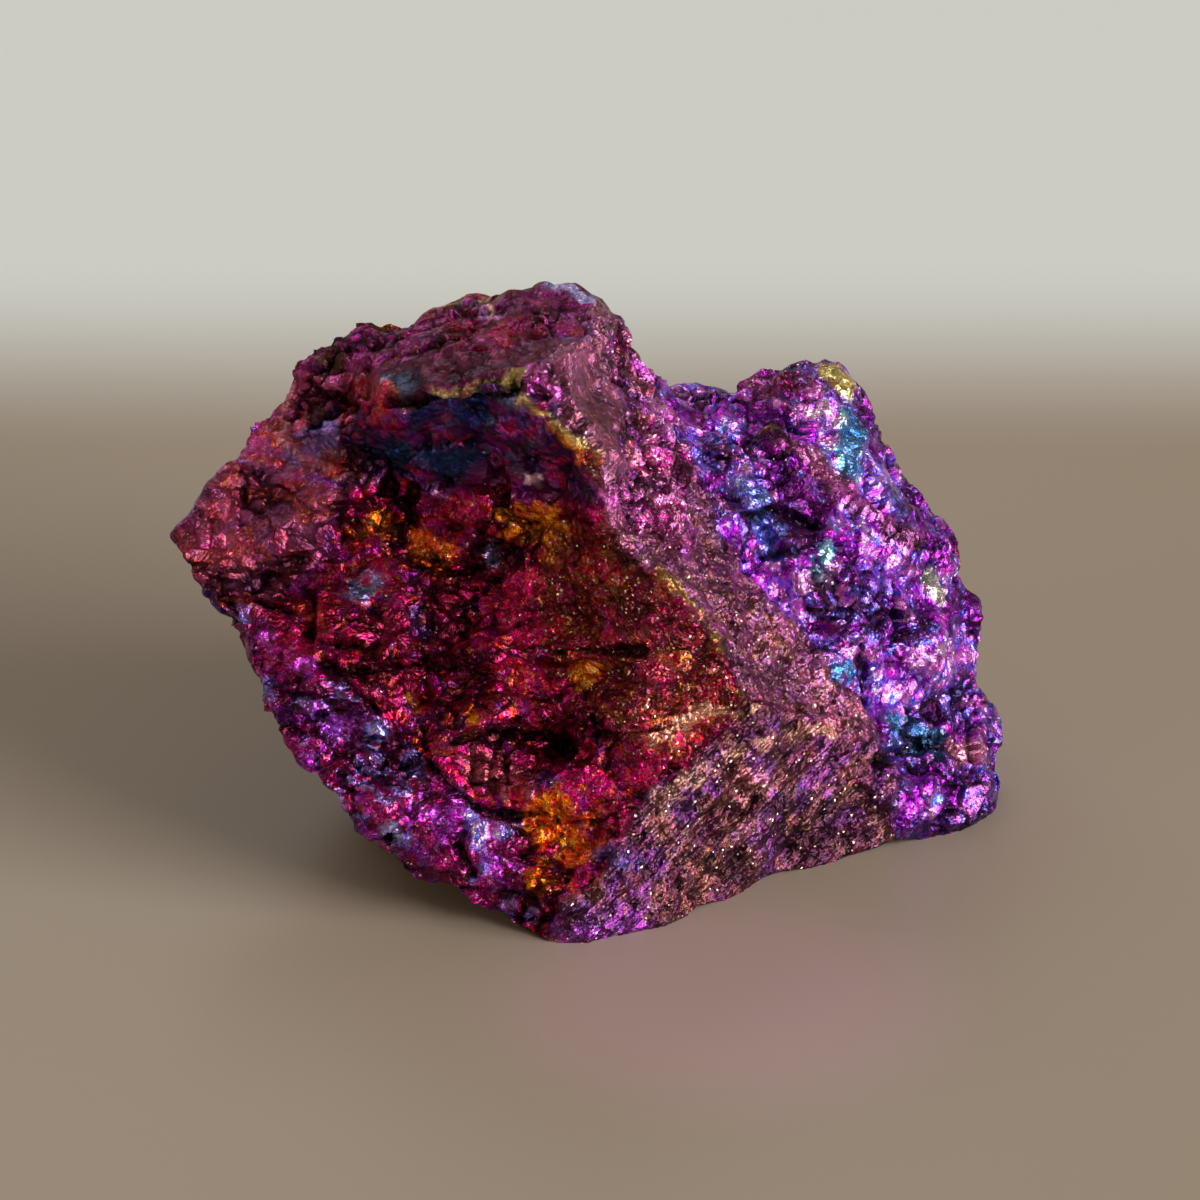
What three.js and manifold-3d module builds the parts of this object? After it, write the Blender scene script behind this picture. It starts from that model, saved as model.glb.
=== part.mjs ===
// Peacock ore: one rough, broken chunk of tarnished copper ore that rests on a flat underside.
// Millimetres, +Z up. The origin is in the middle of the stone's box, on the surface that it rests on.
// The stone is laid out like a land survey: lines along its edges, steps and hollows, with the fracture
// faces stretched between them, and then broken into chips and lumps.
import * as THREE from "three";
import { ImprovedNoise } from "three/addons/math/ImprovedNoise.js";
import { mergeVertices } from "three/addons/utils/BufferGeometryUtils.js";
import Module from "manifold-3d";

// Driving dimensions
const LENGTH = 108; // overall, along X
const SIGHT_ELEVATION = THREE.MathUtils.degToRad(26); // how far above the horizon the front was surveyed from
const FOOT_LEVEL = 0.3; // everything below this height is cut off, which leaves the flat underside
const LINE_STEP = 3.5; // longest gap between survey points along a line
const GRID = 4.2; // gap between the points in the middle of a face
const GRID_UNEVENNESS = 0.5; // how far those points stray, as a share of the gap
const GRID_CLEARANCE = 0.65; // how far they keep from a line, as a share of the gap
const FACET = 4.3; // longest edge of the finished surface
const CHIPS = [
  { size: 14, depth: 2.6, slope: 0.15, salt: 1 }, // broad chips
  { size: 8, depth: 1.7, slope: 0.15, salt: 2 }, // small chips
];
const LUMPS = { size: 15, height: 0.9 };

// Sightings of the front: [across, up, back]. Across and up are read square to the line of sight, and back
// is how far the point lies behind the stone's front corner.
const OUTLINE = [
  // left point and the bulge above it
  [-54.5, 53, 34],
  [-49.5, 58, 40],
  [-45, 64, 46],
  [-45, 67.5, 46],
  [-41, 72, 50],
  [-38.5, 75, 52],
  // far edge of the top
  [-33.5, 77.5, 54],
  [-29.5, 79.5, 55],
  [-24.5, 80, 56],
  [-21.5, 82, 57],
  [-16, 84, 57],
  [-10.5, 85.5, 56],
  [-3.5, 85, 54],
  [0.5, 82.5, 52],
  [3, 80.5, 52],
  // saddle
  [7, 75, 53],
  [11.5, 74, 54],
  [14.5, 72, 56],
  [18, 71.5, 58],
  // knob
  [20.5, 73.5, 61],
  [24.5, 75.5, 63],
  [28, 75, 64],
  [32.5, 75, 63],
  [35.5, 72, 62],
  // right edge
  [38.5, 64.5, 61],
  [43.5, 56.5, 60],
  [46.5, 54.5, 59],
  [49, 50.5, 57],
  [51, 44.5, 55],
  [51, 41, 53],
  [50.5, 36.5, 51],
  [51, 31.5, 50],
  [53, 28.5, 49],
  [54, 23.5, 45],
  [54, 20, 42],
  [52.5, 17, 38],
  // front edge of the foot, from the right toe to the front corner
  [48, 15, 34],
  [40.5, 12.5, 28],
  [39, 13.5, 28],
  [35, 12, 26],
  [27.5, 9.5, 21],
  [20, 7, 15.5],
  [14, 4.5, 9.5],
  [9, 2.5, 5.5],
  [1.5, 1, 2],
  [-1, 0, 0],
  [-6, 0.5, 0.5],
  // left edge, which overhangs
  [-11.5, 2.5, 3],
  [-18.5, 6.5, 6],
  [-24.5, 9, 8],
  [-28.5, 14.5, 10],
  [-33.5, 20, 13],
  [-38, 26, 17],
  [-42.5, 32.5, 20],
  [-45.5, 37.5, 23],
  [-46.5, 42, 27],
  [-50, 45, 30],
  [-53, 50.5, 32],
];

const FRONT_LINES = {
  topStep: [
    [-27.5, 74, 43],
    [-18, 76, 40],
    [-4.5, 78, 39],
  ],
  topStepFoot: [
    [-17.5, 73.5, 37.5],
    [-5.5, 75.5, 35.5],
  ],
  topHollow: [
    [-31, 74.5, 47],
    [-21, 78, 48],
  ],
  topCrown: [
    [-12.5, 81, 47],
    [-6.5, 81.5, 46],
  ],
  ledgeLip: [
    [-27, 72, 39.5],
    [-24, 68.5, 35],
    [-19.5, 70.5, 33],
    [-13, 71.5, 31],
    [-9, 72.5, 30],
    [-4, 75.5, 31],
    [-1.5, 78, 36],
  ],
  lipTongue: [
    [-8.5, 69, 29],
    [-6, 66.5, 27.5],
    [-2.5, 64.5, 26],
    [1, 61.5, 24.5],
  ],
  wallFoot: [
    [-31.5, 63.5, 41],
    [-24.5, 59, 38],
    [-18, 58, 36],
    [-10, 57.5, 33],
    [-4, 58.5, 30],
  ],
  crest: [
    [-3, 70, 28],
    [1.5, 61, 25],
    [2, 54, 23.5],
    [5, 50, 23],
    [8.5, 48, 22.5],
    [12.5, 44, 21.5],
    [15.5, 40, 20.5],
    [17, 36.5, 19.5],
    [19.5, 31.5, 18],
  ],
  bevelTop: [
    [26, 30, 22.5],
    [32.5, 27.5, 27],
    [38, 24.5, 30.5],
  ],
  bevelSide: [
    [12.5, 23.5, 13],
    [6, 17, 8.5],
    [1.5, 10, 4.5],
    [-4, 5.5, 1.5],
  ],
  bevelFace: [
    [10, 11, 9.5],
    [22, 18, 17.5],
    [32, 18.5, 24.5],
  ],
  bandEdge: [
    [11, 67, 44],
    [12, 60.5, 41.5],
    [15, 56.5, 40],
    [17.5, 52, 38.5],
    [20.5, 47.5, 37.5],
    [24, 45, 37],
    [27.5, 41, 36.5],
    [33, 35.5, 35],
    [39, 26, 33],
  ],
  bulgeBelly: [
    [-38, 67, 43.5],
    [-32, 66, 40],
  ],
  bulgeFoot: [
    [-40, 62.5, 44],
    [-34.5, 62, 42],
  ],
  lobeBack: [
    [-47, 57, 40],
    [-40.5, 58, 40.5],
  ],
  lobeEdge: [
    [-48.5, 53, 36],
    [-43.5, 52.5, 35],
    [-37.5, 55.5, 36.5],
    [-33, 58.5, 38.5],
  ],
  lobeUnder: [
    [-45.5, 46.5, 32],
    [-38, 46.5, 33.5],
  ],
  hollowTop: [
    [-28, 53.5, 37],
    [-19.5, 51.5, 34.5],
    [-7.5, 53.5, 30],
    [-2.5, 48, 25.5],
  ],
  hollowMiddle: [
    [-30, 44, 30],
    [-22, 42, 27.5],
    [-11.5, 44, 28],
    [6.5, 41.5, 21.5],
  ],
  ledge: [
    [-24, 36, 23.5],
    [-17, 37, 22],
    [-10.5, 37.5, 21.5],
    [-2, 38, 21],
    [6, 37, 19.5],
  ],
  ledgeFoot: [
    [-23, 33, 23.5],
    [-17, 34, 24],
    [-12, 35, 23.5],
    [-2, 35.5, 21.5],
  ],
  shelf: [
    [-17, 26.5, 17],
    [-9, 28.5, 18],
  ],
  shelfFoot: [
    [-15, 24, 16.5],
    [-9.5, 26, 18.5],
  ],
  bevelBack: [
    [13, 32, 17],
    [6.5, 28.5, 15],
  ],
  pit: [
    [-4, 26.5, 21.5],
    [-2.5, 25, 20],
  ],
  pitRim: [
    [-7, 22.5, 13.5],
    [0.5, 24, 13.5],
    [-1, 29.5, 17],
  ],
  lowerFace: [
    [-6.5, 19, 10.5],
    [1.5, 18, 9],
    [-3.5, 14, 8],
    [-9, 9, 4.5],
  ],
  stepLine: [
    [-35, 36.5, 23],
    [-27, 30, 18.5],
    [-21.5, 24, 14.5],
    [-18, 20.5, 12],
    [-13.5, 17, 9],
  ],
  stepFoot: [
    [-33, 31.5, 20.5],
    [-26.5, 25.5, 16.5],
    [-21, 20, 12.5],
    [-17, 16.5, 10],
  ],
  lowerLeft: [
    [-32.5, 25, 16.5],
    [-25, 18, 11.5],
    [-19.5, 12.5, 8.5],
    [-13, 11, 5.5],
  ],
  shoulder: [
    [19.5, 63.5, 47],
    [23, 65.5, 50],
    [28, 60.5, 47],
    [31, 56.5, 45],
    [36.5, 54, 47],
    [42.5, 51, 50],
  ],
  nodules: [
    [19.5, 57, 39],
    [23.5, 58, 42],
    [26, 51, 37.5],
    [31.5, 47, 37],
    [37.5, 44, 39.5],
    [44, 42.5, 45],
  ],
  noduleGap: [
    [23, 54, 41],
    [29.5, 52.5, 40.5],
  ],
  lowerNodules: [
    [36.5, 37, 36.5],
    [44, 36, 41.5],
    [40.5, 31, 37],
  ],
  toeGroove: [
    [43, 26.5, 38],
    [48, 24, 39.5],
  ],
  toe: [
    [39, 19, 28],
    [44, 21, 31.5],
    [50, 20.5, 35.5],
  ],
  knobFace: [
    [27.5, 70, 57],
    [33, 67.5, 56],
    [32.5, 61, 51],
    [38, 57, 53],
  ],
};

// The hidden side: [x, y, z], with y measured back from the front corner.
const HIDDEN_LINES = {
  foot: [
    [-21, 37, -2.5],
    [-24, 46, -2.5],
    [-17, 58, -2.5],
    [0, 67, -2.5],
    [22, 67, -2.5],
    [40, 59, -2.5],
    [48, 50, -2.5],
    [46, 42, -2.5],
  ],
  footMiddle: [
    [-8, 40, -2.5],
    [10, 50, -2.5],
    [30, 48, -2.5],
  ],
  footFront: [
    [-4, 18, -2.5],
    [14, 26, -2.5],
    [30, 36, -2.5],
  ],
  leftUnderside: [
    [-51, 44, 36.5],
    [-45, 44, 28],
    [-38, 46, 18],
    [-32, 36, 8],
  ],
  leftBack: [
    [-46, 55, 38],
    [-38, 60, 28],
    [-31, 60, 14],
  ],
  backRim: [
    [-32, 66, 44],
    [-22, 68, 54],
    [-6, 70, 57],
    [6, 66, 50],
    [18, 72, 42],
    [28, 74, 43],
    [38, 70, 32],
    [45, 66, 18],
    [47, 60, 8],
  ],
  backFace: [
    [-12, 76, 34],
    [8, 78, 30],
    [26, 78, 24],
  ],
  backLow: [
    [-18, 72, 16],
    [4, 75, 10],
    [28, 73, 8],
    [40, 66, 4],
  ],
};

// A sighting as a point of the picture frame: across, away from the viewer, up the picture.
function fromSighting([across, up, back]) {
  const away = back / Math.cos(SIGHT_ELEVATION) - up * Math.tan(SIGHT_ELEVATION);
  return new THREE.Vector3(across, away, up);
}

// A point of the upright frame, turned into the picture frame.
function fromUpright([x, y, z]) {
  return new THREE.Vector3(x, y, z).applyAxisAngle(new THREE.Vector3(1, 0, 0), SIGHT_ELEVATION);
}

// A line through the points, with points added so that no gap is wider than LINE_STEP.
function densify(line, closed = false) {
  const dense = [];
  line.forEach((start, i) => {
    const end = line[i + 1] ?? (closed ? line[0] : start);
    const pieces = Math.max(1, Math.ceil(start.distanceTo(end) / LINE_STEP));
    for (let k = 0; k < pieces; k++) {
      dense.push(start.clone().lerp(end, k / pieces));
    }
  });
  return dense;
}

// A number from 0 to 1 that is always the same for the same cell.
function hash(i, j, k, salt) {
  const s = Math.sin(i * 127.1 + j * 311.7 + k * 74.7 + salt * 53.3) * 43758.5453;
  return s - Math.floor(s);
}

// A triangle of three point indices with its circumscribed circle in the picture.
function circled(points, corners) {
  const [a, b, c] = corners.map((i) => points[i]);
  const bx = b.x - a.x;
  const bz = b.z - a.z;
  const cx = c.x - a.x;
  const cz = c.z - a.z;
  const twice = 2 * (bx * cz - bz * cx);
  const x = (cz * (bx * bx + bz * bz) - bz * (cx * cx + cz * cz)) / twice;
  const z = (bx * (cx * cx + cz * cz) - cx * (bx * bx + bz * bz)) / twice;
  return { corners, x: a.x + x, z: a.z + z, radius2: x * x + z * z };
}

// Delaunay triangles of the points as they lie in the picture, anticlockwise, added point by point.
function delaunay(points) {
  const count = points.length;
  const far = 100 * LENGTH;
  const all = [
    ...points,
    new THREE.Vector3(-far, 0, -far),
    new THREE.Vector3(far, 0, -far),
    new THREE.Vector3(0, 0, far),
  ];
  let triangles = [circled(all, [count, count + 1, count + 2])];
  points.forEach((p, i) => {
    const edges = new Map();
    triangles = triangles.filter((t) => {
      if ((p.x - t.x) ** 2 + (p.z - t.z) ** 2 > t.radius2) return true;
      t.corners.forEach((a, n) => edges.set(`${a},${t.corners[(n + 1) % 3]}`, [a, t.corners[(n + 1) % 3]]));
      return false;
    });
    for (const [a, b] of edges.values()) {
      if (!edges.has(`${b},${a}`)) triangles.push(circled(all, [a, b, i]));
    }
  });
  return triangles.map((t) => t.corners).filter((corners) => corners.every((i) => i < count));
}

// True where (x, z) of the picture is inside the outline.
function isInside(outline, x, z) {
  let inside = false;
  outline.forEach((a, i) => {
    const b = outline[(i + 1) % outline.length];
    if (a.z > z !== b.z > z && x < ((b.x - a.x) * (z - a.z)) / (b.z - a.z) + a.x) inside = !inside;
  });
  return inside;
}

// The faces of one side of the stone, stretched between its lines: triples of indices into points.
function sheet(outline, points) {
  return delaunay(points).filter((corners) => {
    const middle = corners.reduce((sum, i) => sum.add(points[i]), new THREE.Vector3()).divideScalar(3);
    return isInside(outline, middle.x, middle.z);
  });
}

// Points on a staggered, uneven grid in the middle of the faces that are stretched between the lines.
function between(outline, lined) {
  const flat = lined.map((p) => new THREE.Vector3(p.x, 0, p.z));
  const faces = sheet(outline, lined);
  const added = [];
  for (let i = -LENGTH / GRID; i < LENGTH / GRID; i++) {
    for (let j = 0; j < LENGTH / GRID; j++) {
      const x = (i + (j % 2) / 2 + GRID_UNEVENNESS * hash(i, j, 0, 3)) * GRID;
      const z = (j + GRID_UNEVENNESS * hash(i, j, 0, 4)) * GRID;
      const at = new THREE.Vector3(x, 0, z);
      if (flat.some((p) => p.distanceTo(at) < GRID_CLEARANCE * GRID)) continue;
      const face = faces.find(([a, b, c]) => THREE.Triangle.containsPoint(at, flat[a], flat[b], flat[c]));
      if (!face) continue;
      const corners = [...face.map((n) => flat[n]), ...face.map((n) => lined[n])];
      added.push(THREE.Triangle.getInterpolation(at, ...corners, new THREE.Vector3()));
    }
  }
  return added;
}

// The front and the hidden side, joined along the outline as one closed surface.
function surveyedSurface() {
  const outline = densify(OUTLINE.map(fromSighting), true).reverse();
  const front = Object.values(FRONT_LINES).flatMap((line) => densify(line.map(fromSighting)));
  front.push(...between(outline, [...outline, ...front]));
  const hidden = Object.values(HIDDEN_LINES).flatMap((line) => densify(line.map(fromUpright)));
  hidden.push(...between(outline, [...outline, ...hidden]));
  const hiddenIndex = (i) => (i < outline.length ? i : i + front.length);
  const frontFaces = sheet(outline, [...outline, ...front]);
  const hiddenFaces = sheet(outline, [...outline, ...hidden]);
  return {
    points: [...outline, ...front, ...hidden],
    faces: [...frontFaces, ...hiddenFaces.map(([a, b, c]) => [a, c, b].map(hiddenIndex))],
  };
}

const edgeName = (a, b) => (a < b ? `${a},${b}` : `${b},${a}`);

// A face cut at the middle of each of its edges that has one, the longest first.
function cutFace([a, b, c], points, middles) {
  const turns = [
    [a, b, c],
    [b, c, a],
    [c, a, b],
  ].filter(([p, q]) => middles.has(edgeName(p, q)));
  if (!turns.length) return [[a, b, c]];
  const length = ([p, q]) => points[p].distanceTo(points[q]);
  const [p, q, r] = turns.reduce((best, turn) => (length(turn) > length(best) ? turn : best));
  const middle = middles.get(edgeName(p, q));
  return [...cutFace([p, middle, r], points, middles), ...cutFace([middle, q, r], points, middles)];
}

// The same surface with every edge longer than FACET cut in two until none is left.
function refine({ points, faces }) {
  const middles = new Map();
  for (const [a, b, c] of faces) {
    for (const [p, q] of [[a, b], [b, c], [c, a]]) {
      if (middles.has(edgeName(p, q)) || points[p].distanceTo(points[q]) <= FACET) continue;
      middles.set(edgeName(p, q), points.push(points[p].clone().lerp(points[q], 0.5)) - 1);
    }
  }
  if (!middles.size) return { points, faces };
  return refine({ points, faces: faces.flatMap((face) => cutFace(face, points, middles)) });
}

// How far the chips lift the surface at p. Each is a shallow dome, tilted its own way, and the highest wins,
// so that they meet in creases. The last term keeps them level with the surface on the whole.
function chipLift(p, { size, depth, slope, salt }) {
  const cell = p.clone().divideScalar(size).floor();
  let highest = -Infinity;
  for (let n = 0; n < 27; n++) {
    const i = cell.x + (n % 3) - 1;
    const j = cell.y + (Math.floor(n / 3) % 3) - 1;
    const k = cell.z + Math.floor(n / 9) - 1;
    const random = (a) => hash(i, j, k, salt + a);
    const middle = new THREE.Vector3(i + random(10), j + random(20), k + random(30)).multiplyScalar(size);
    const tilt = new THREE.Vector3(random(40) - 0.5, random(50) - 0.5, random(60) - 0.5).setLength(slope);
    const away = p.clone().sub(middle);
    highest = Math.max(highest, tilt.dot(away) - depth * away.divideScalar(size).lengthSq());
  }
  return highest + depth / 4;
}

// The upright surface, broken into chips and lumps.
function roughen({ points, faces }) {
  const surface = new THREE.BufferGeometry().setFromPoints(points);
  surface.setIndex(faces.flat());
  surface.rotateX(-SIGHT_ELEVATION);
  surface.computeVertexNormals();
  const noise = new ImprovedNoise();
  const position = surface.getAttribute("position");
  const normal = surface.getAttribute("normal");
  for (let i = 0; i < position.count; i++) {
    const p = new THREE.Vector3().fromBufferAttribute(position, i);
    const n = new THREE.Vector3().fromBufferAttribute(normal, i);
    const chips = CHIPS.reduce((sum, chip) => sum + chipLift(p, chip), 0);
    const lumps = LUMPS.height * noise.noise(p.x / LUMPS.size, p.y / LUMPS.size, p.z / LUMPS.size);
    p.addScaledVector(n, chips + lumps);
    position.setXYZ(i, p.x, p.y, p.z);
  }
  return surface;
}

const wasm = await Module();
wasm.setup();

function toSolid(geometry) {
  const bare = geometry.clone();
  bare.deleteAttribute("normal");
  bare.deleteAttribute("uv");
  const merged = mergeVertices(bare);
  return new wasm.Manifold(
    new wasm.Mesh({
      numProp: 3,
      vertProperties: merged.getAttribute("position").array,
      triVerts: new Uint32Array(merged.index.array),
    }),
  );
}

function toGeometry(solid) {
  const { vertProperties, triVerts } = solid.getMesh();
  const geometry = new THREE.BufferGeometry();
  geometry.setAttribute("position", new THREE.BufferAttribute(vertProperties, 3));
  return geometry.setIndex(new THREE.BufferAttribute(triVerts, 1));
}

// The stone cut flat where it rests, scaled to its length and set on the origin.
function restOnFoot(surface) {
  const below = new THREE.BoxGeometry(2 * LENGTH, 3 * LENGTH, LENGTH);
  below.translate(0, 0, FOOT_LEVEL - LENGTH / 2);
  const stone = toGeometry(toSolid(surface).subtract(toSolid(below)));
  stone.computeBoundingBox();
  const { min, max } = stone.boundingBox;
  stone.translate(-(min.x + max.x) / 2, -(min.y + max.y) / 2, -min.z);
  const scale = LENGTH / (max.x - min.x);
  stone.scale(scale, scale, scale);
  stone.computeVertexNormals();
  return stone;
}

const tarnish = new THREE.MeshStandardMaterial({ color: 0x6b1a4f, roughness: 0.42, metalness: 0.9 });

const ore = new THREE.Mesh(restOnFoot(roughen(refine(surveyedSurface()))), tarnish);
ore.name = "ore";

const peacockOre = new THREE.Group();
peacockOre.add(ore);

export default peacockOre;
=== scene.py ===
import math

import bpy
import numpy as np
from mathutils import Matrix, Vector
from mathutils.bvhtree import BVHTree


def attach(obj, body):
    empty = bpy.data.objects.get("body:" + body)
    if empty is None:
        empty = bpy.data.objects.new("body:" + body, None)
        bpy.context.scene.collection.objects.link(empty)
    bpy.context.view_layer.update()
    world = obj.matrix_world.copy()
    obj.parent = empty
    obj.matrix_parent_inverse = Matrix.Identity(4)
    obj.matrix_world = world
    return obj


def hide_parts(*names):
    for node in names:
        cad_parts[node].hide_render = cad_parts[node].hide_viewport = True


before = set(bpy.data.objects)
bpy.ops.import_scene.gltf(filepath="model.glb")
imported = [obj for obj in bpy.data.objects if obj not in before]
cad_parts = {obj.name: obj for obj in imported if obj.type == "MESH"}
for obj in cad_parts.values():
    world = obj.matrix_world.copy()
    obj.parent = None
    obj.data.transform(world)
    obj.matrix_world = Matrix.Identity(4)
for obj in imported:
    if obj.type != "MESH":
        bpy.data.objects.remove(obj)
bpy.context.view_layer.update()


# The table and the window
# The stone lies on a plain, pale, satin table top whose far part is lighter. A wide window on the right is
# the main light, the rest of the room is dim and warm, and the eye looks down on the table from the front.
sight = math.radians(26)  # how far the eye is above the table
forward = Vector((0, math.cos(sight), -math.sin(sight)))
upward = Vector((0, math.sin(sight), math.cos(sight)))
view_width = 0.155
view_middle_across = 0.0014
view_middle_up = 0.0266
view_middle = Vector((view_middle_across, 0, 0)) + upward * view_middle_up
eye_distance = 2.0

camera = bpy.data.objects.new("eye", bpy.data.cameras.new("eye"))
camera.location = view_middle - forward * eye_distance
camera.rotation_mode = "QUATERNION"
camera.rotation_quaternion = forward.to_track_quat("-Z", "Y")
camera.data.lens = camera.data.sensor_width * eye_distance / view_width
camera.data.clip_end = 20
bpy.context.scene.collection.objects.link(camera)
bpy.context.scene.camera = camera


def window(name, place, width, height, power, colour):
    """A soft rectangle of light that faces the stone."""
    light = bpy.data.lights.new(name, "AREA")
    light.shape = "RECTANGLE"
    light.size = width
    light.size_y = height
    light.energy = power
    light.color = colour
    lamp = bpy.data.objects.new(name, light)
    lamp.location = place
    lamp.rotation_mode = "QUATERNION"
    lamp.rotation_quaternion = (-Vector(place)).to_track_quat("-Z", "Y")
    bpy.context.scene.collection.objects.link(lamp)


window("right_window", place=(2.5, -1.25, 1.15), width=2.5, height=1.9, power=116, colour=(1.0, 0.98, 0.96))
window("far_wall", place=(-0.4, 0.85, 0.8), width=0.9, height=0.4, power=2.8, colour=(0.95, 0.98, 1.0))
window("left_wall", place=(-1.1, -0.6, 0.55), width=0.6, height=0.6, power=1.65, colour=(1.0, 0.9, 0.8))

# The stone's lower face throws a faint pink light on the table in front of it.
glow = bpy.data.lights.new("thrown_glow", "SPOT")
glow.energy = 0.55
glow.color = (0.85, 0.2, 1.0)
glow.spot_size = math.radians(14)
glow.spot_blend = 1.0
glow_lamp = bpy.data.objects.new("thrown_glow", glow)
glow_lamp.location = (0.017, -0.056, 0.3)
bpy.context.scene.collection.objects.link(glow_lamp)

room = bpy.data.worlds.new("room")
room.use_nodes = True
room_light = room.node_tree.nodes["Background"]
room_light.inputs["Color"].default_value = (0.37, 0.285, 0.185, 1)
room_light.inputs["Strength"].default_value = 0.52
bpy.context.scene.world = room
bpy.context.scene.view_settings.view_transform = "Standard"

table_size = 4.0
table_near = (0.388, 0.322, 0.256, 1)
table_far = (0.84, 0.90, 0.90, 1)
table_change = (0.105, 0.17)  # the table's colour turns paler between these distances behind the stone

bpy.ops.mesh.primitive_plane_add(size=table_size)
table = bpy.context.object
table.name = "table"
satin = bpy.data.materials.new("satin_table")
satin.use_nodes = True
nodes = satin.node_tree.nodes
links = satin.node_tree.links
finish = nodes["Principled BSDF"]
finish.inputs["Roughness"].default_value = 0.42
finish.inputs["Specular IOR Level"].default_value = 0.3
place = nodes.new("ShaderNodeTexCoord")
split = nodes.new("ShaderNodeSeparateXYZ")
links.new(place.outputs["Object"], split.inputs[0])
fade = nodes.new("ShaderNodeMapRange")
fade.interpolation_type = "SMOOTHSTEP"
fade.inputs["From Min"].default_value = table_change[0]
fade.inputs["From Max"].default_value = table_change[1]
links.new(split.outputs["Y"], fade.inputs["Value"])
shades = nodes.new("ShaderNodeMix")
shades.data_type = "RGBA"
shades.inputs["A"].default_value = table_near
shades.inputs["B"].default_value = table_far
links.new(fade.outputs["Result"], shades.inputs["Factor"])
links.new(shades.outputs["Result"], finish.inputs["Base Color"])
table.data.materials.append(satin)


# The ore: shape
# One natural chunk of massive copper ore, hammered off a vein, so that every side is a fracture face. The
# solid gives the big faces; here they are broken into chips, scallops, nodules, streaks and cracks.
# Sizes are in millimetres.
millimetre = 0.001
grain = 0.42  # gap between the points of the finished surface

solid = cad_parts["ore"]
stone = solid.copy()
stone.data = solid.data.copy()
stone.name = "peacock_ore"
stone.parent = None
bpy.context.scene.collection.objects.link(stone)
remesh = stone.modifiers.new("even_grain", "REMESH")
remesh.mode = "VOXEL"
remesh.voxel_size = grain * millimetre


def settle(thing):
    """Carries out the modifiers of a thing and takes them off."""
    evaluated = thing.evaluated_get(bpy.context.evaluated_depsgraph_get())
    thing.data = bpy.data.meshes.new_from_object(evaluated)
    thing.modifiers.clear()
    thing.data.name = thing.name


settle(stone)


def read(kind, field, width, dtype=float):
    """A field of the stone's points or edges as an array with one row for each."""
    values = np.zeros(len(kind) * width, np.float32 if dtype is float else np.int32)
    kind.foreach_get(field, values)
    return values.reshape(-1, width).astype(dtype)


points = read(stone.data.vertices, "co", 3) / millimetre
normals = read(stone.data.vertices, "normal", 3)
edges = read(stone.data.edges, "vertices", 2, int)
neighbours = np.bincount(edges.ravel(), minlength=len(points))


def soften(values, times):
    """Each value moved to the average of its neighbours along the mesh, again and again."""
    for _ in range(times):
        total = np.bincount(edges[:, 0], values[edges[:, 1]], len(values))
        total += np.bincount(edges[:, 1], values[edges[:, 0]], len(values))
        values = 0.5 * values + 0.5 * total / neighbours
    return values


def smoothstep(low, high, values):
    """0 below the low limit and 1 above the high one, with an even change between them."""
    share = np.clip((values - low) / (high - low), 0, 1)
    return share * share * (3 - 2 * share)


def draw(cells, seed):
    """A random number from 0 to 1 for each cell of a grid, the same at every run."""
    i, j, k = cells.astype(np.int64).T
    mixed = (i * 374761393 + j * 668265263 + k * 1440662683 + seed * 974711) & 0xFFFFFFFF
    mixed = ((mixed ^ (mixed >> 13)) * 1274126177) & 0xFFFFFFFF
    return (mixed ^ (mixed >> 16)) / 0xFFFFFFFF


def waves(size, seed, at=points):
    """Smooth random swells from -1 to 1, about this far apart."""
    cells = np.floor(at / size)
    share = at / size - cells
    share = share * share * (3 - 2 * share)
    total = np.zeros(len(at))
    for corner in np.ndindex(2, 2, 2):
        weight = np.prod(np.where(corner, share, 1 - share), axis=1)
        total += weight * draw(cells + corner, seed)
    return 2 * total - 1


def chips(size, depth, slope, seed, at=points):
    """Domes about this far apart, each tilted its own way, that meet in creases; less depth is flatter.
    Gives each point's height and its dome's random number."""
    cells = np.floor(at / size)
    height = np.full(len(at), -np.inf)
    chance = np.zeros(len(at))
    for offset in np.ndindex(3, 3, 3):
        cell = cells + offset - 1
        middle = cell + np.stack([draw(cell, seed + n) for n in range(3)], axis=1)
        tilt = np.stack([draw(cell, seed + n) - 0.5 for n in range(3, 6)], axis=1)
        away = at / size - middle
        lift = 2 * slope * size * (away * tilt).sum(1) - depth * (away * away).sum(1)
        higher = lift > height
        chance = np.where(higher, draw(cell, seed + 6), chance)
        height = np.maximum(height, lift)
    return height - height.mean(), chance


def flakes(size, slope, step, seed, at=points):
    """Flat chips about this far apart, each tilted its own way and higher or lower than the next by a step.
    Gives each point's height, its chip's random number, its chip's middle and its distance from the rim."""
    bent = at + 0.25 * size * np.stack([waves(0.6 * size, seed + n, at) for n in range(3)], axis=1)
    cells = np.floor(bent / size)
    nearest = np.full(len(at), np.inf)
    second = np.full(len(at), np.inf)
    height = np.zeros(len(at))
    chance = np.zeros(len(at))
    centre = np.zeros((len(at), 3))
    for offset in np.ndindex(3, 3, 3):
        cell = cells + offset - 1
        middle = cell + np.stack([draw(cell, seed + n) for n in range(3, 6)], axis=1)
        tilt = np.stack([draw(cell, seed + n) - 0.5 for n in range(6, 9)], axis=1)
        distance = np.linalg.norm(bent / size - middle, axis=1)
        nearer = distance < nearest
        second = np.where(nearer, nearest, np.minimum(second, distance))
        nearest = np.where(nearer, distance, nearest)
        away = at / size - middle
        lift = 2 * slope * size * (away * tilt).sum(1) + step * (draw(cell, seed + 9) - 0.5)
        height = np.where(nearer, lift, height)
        chance = np.where(nearer, draw(cell, seed + 10), chance)
        centre = np.where(nearer[:, None], middle * size, centre)
    return soften(height, 1), chance, centre, size * (second - nearest) / 2


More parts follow.
